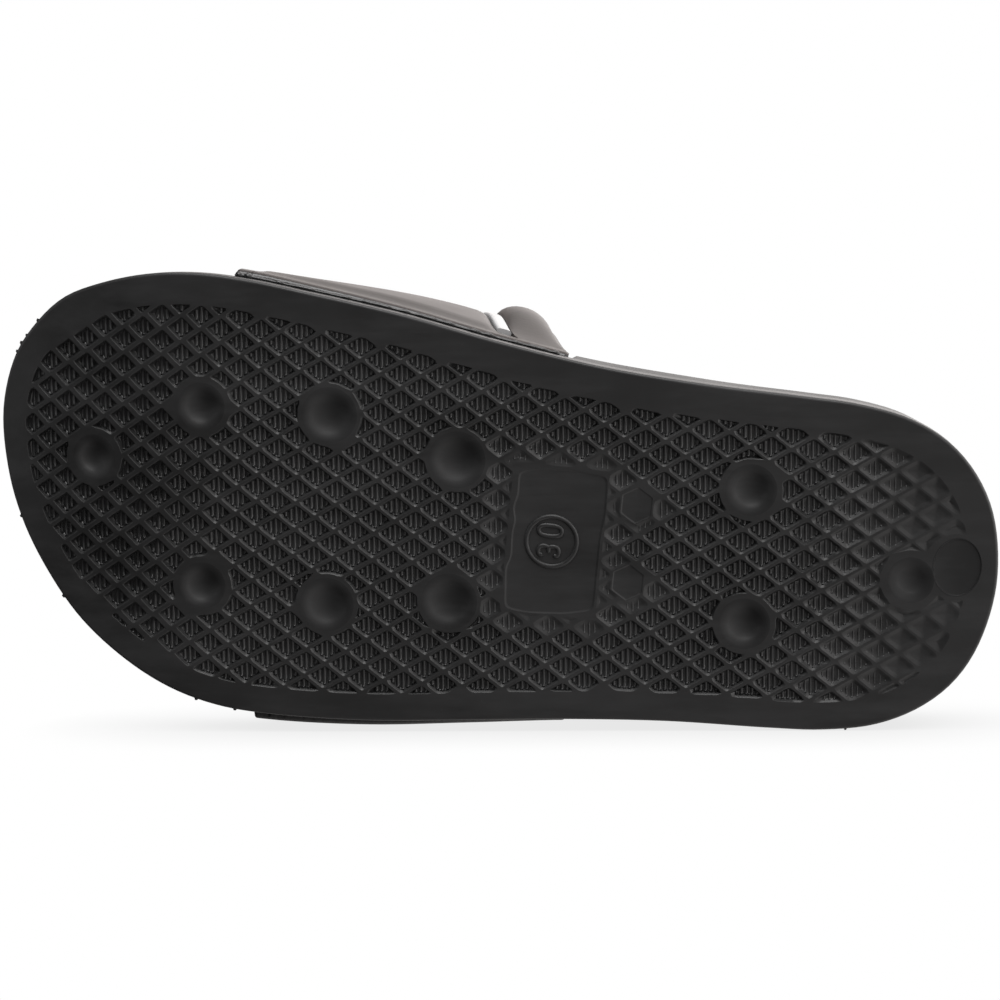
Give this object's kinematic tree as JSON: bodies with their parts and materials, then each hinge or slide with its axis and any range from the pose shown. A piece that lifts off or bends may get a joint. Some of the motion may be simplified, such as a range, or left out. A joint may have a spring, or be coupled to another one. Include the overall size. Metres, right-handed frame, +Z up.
{
  "type": "sport slide sandal",
  "caption": "Child's moulded slide sandal for the right foot, one wide padded strap over a cupped footbed, lying on its outer side.",
  "frame": {"origin": "on the floor under the middle of the shoe as it lies on its outer side", "axes": "+Z up; +X along the sole towards the heel; the tread faces -Y, leaning 6 degrees towards the floor"},
  "size_m": [0.2072, 0.069, 0.0971],
  "materials": {
    "outsole": "satin moulded black, fine scuffs",
    "footbed": "matt moulded black, fine grain",
    "strap": "coated, satin charcoal black, fine grain",
    "stripe": "white, satin"
  },
  "bodies": {
    "root": {"outsole": "outsole", "footbed": "footbed", "strap": "strap", "stripe": "stripe"}
  },
  "joints": []
}
